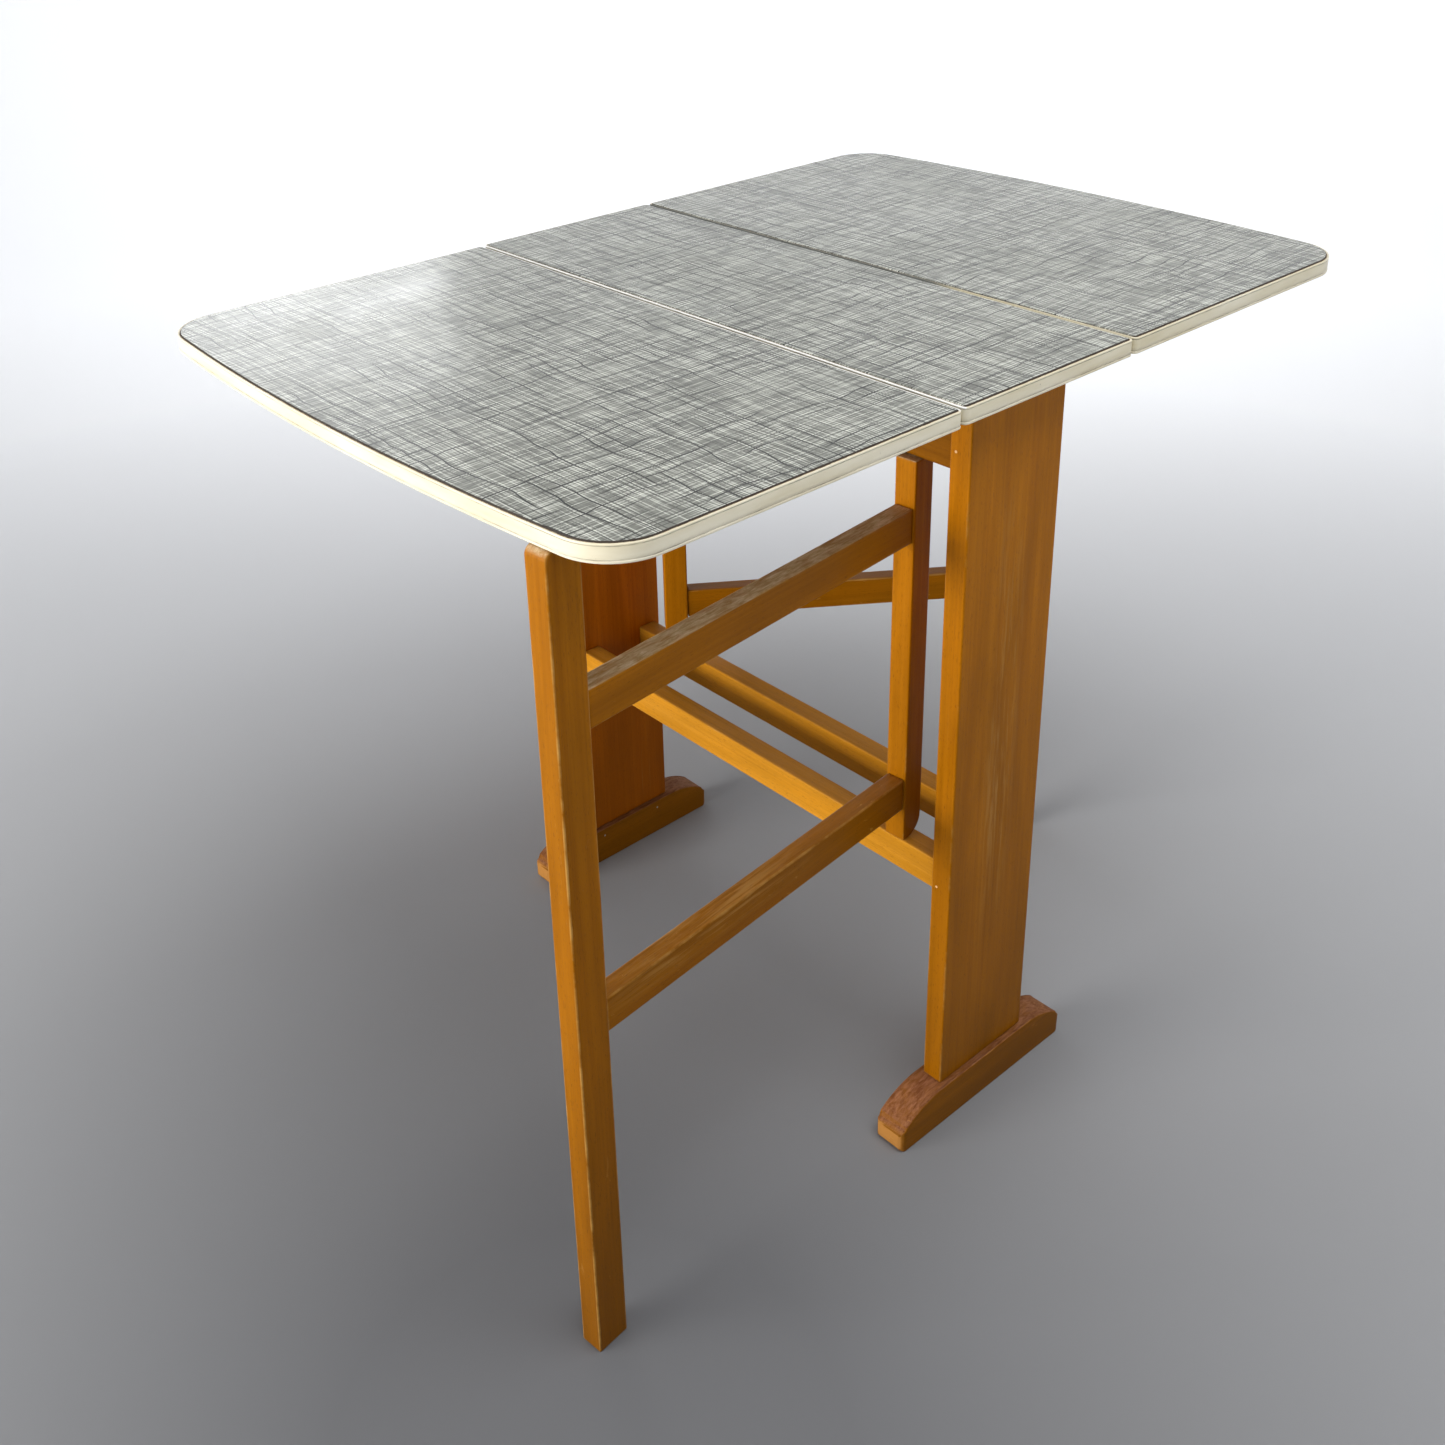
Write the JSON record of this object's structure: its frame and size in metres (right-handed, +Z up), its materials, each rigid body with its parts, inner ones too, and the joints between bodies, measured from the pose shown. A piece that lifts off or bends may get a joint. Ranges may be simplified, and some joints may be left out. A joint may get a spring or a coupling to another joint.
{
  "type": "gateleg table",
  "caption": "Drop-leaf gateleg table: narrow fixed centre, two hinged bow-ended leaves and two swinging gates on a board trestle with sledge feet.",
  "frame": {"origin": "on the floor under the middle of the table", "axes": "+X along the two seams towards the end board that the near gate pivots beside, +Y from the near leaf to the far leaf, +Z up"},
  "size_m": [0.61, 0.914, 0.745],
  "materials": {
    "laminate": "satin grey laminate with a woven linen print",
    "edging": "satin cream plastic edging",
    "core_board": "bare chipboard",
    "frame_wood": "orange lacquered beech, worn at the edges",
    "foot_wood": "darker lacquered beech with dusty worn tops",
    "hinge_steel": "dull zinc-plated steel",
    "fastener_steel": "dull steel"
  },
  "bodies": {
    "trestle": {"centre_core": "core_board", "centre_laminate": "laminate", "centre_edging": "edging", "right_end_board": "frame_wood", "left_end_board": "frame_wood", "right_foot": "foot_wood", "left_foot": "foot_wood", "near_stretcher": "frame_wood", "far_stretcher": "frame_wood", "near_apron": "frame_wood", "far_apron": "frame_wood", "fixing_blocks": "frame_wood", "block_screws": "fastener_steel", "board_pins": "fastener_steel", "foot_pins": "fastener_steel", "near_fixed_plates": "hinge_steel", "near_hinge_pins": "hinge_steel", "near_fixed_screws": "fastener_steel", "far_fixed_plates": "hinge_steel", "far_hinge_pins": "hinge_steel", "far_fixed_screws": "fastener_steel"},
    "near_leaf": {"near_leaf_core": "core_board", "near_leaf_laminate": "laminate", "near_leaf_edging": "edging", "near_moving_plates": "hinge_steel", "near_moving_screws": "fastener_steel"},
    "far_leaf": {"far_leaf_core": "core_board", "far_leaf_laminate": "laminate", "far_leaf_edging": "edging", "far_moving_plates": "hinge_steel", "far_moving_screws": "fastener_steel"},
    "near_gate": {"near_gate_post": "frame_wood", "near_gate_leg": "frame_wood", "near_gate_upper_rail": "frame_wood", "near_gate_lower_rail": "frame_wood", "near_gate_pivots": "fastener_steel"},
    "far_gate": {"far_gate_post": "frame_wood", "far_gate_leg": "frame_wood", "far_gate_upper_rail": "frame_wood", "far_gate_lower_rail": "frame_wood", "far_gate_pivots": "fastener_steel"}
  },
  "joints": [
    {"name": "near_leaf_lift", "type": "hinge", "parent": "trestle", "child": "near_leaf", "pos_m": [0, -0.106, 0.7261], "axis": [-1, 0, 0], "range_deg": [0, 5]},
    {"name": "far_leaf_lift", "type": "hinge", "parent": "trestle", "child": "far_leaf", "pos_m": [0, 0.106, 0.7261], "axis": [1, 0, 0], "range_deg": [0, 5]},
    {"name": "near_gate_swing", "type": "hinge", "parent": "trestle", "child": "near_gate", "pos_m": [0.202, -0.038, 0.47], "axis": [0, 0, 1], "range_deg": [-91.7, 5]},
    {"name": "far_gate_swing", "type": "hinge", "parent": "trestle", "child": "far_gate", "pos_m": [-0.202, 0.038, 0.47], "axis": [0, 0, 1], "range_deg": [-50.1, 46]}
  ]
}
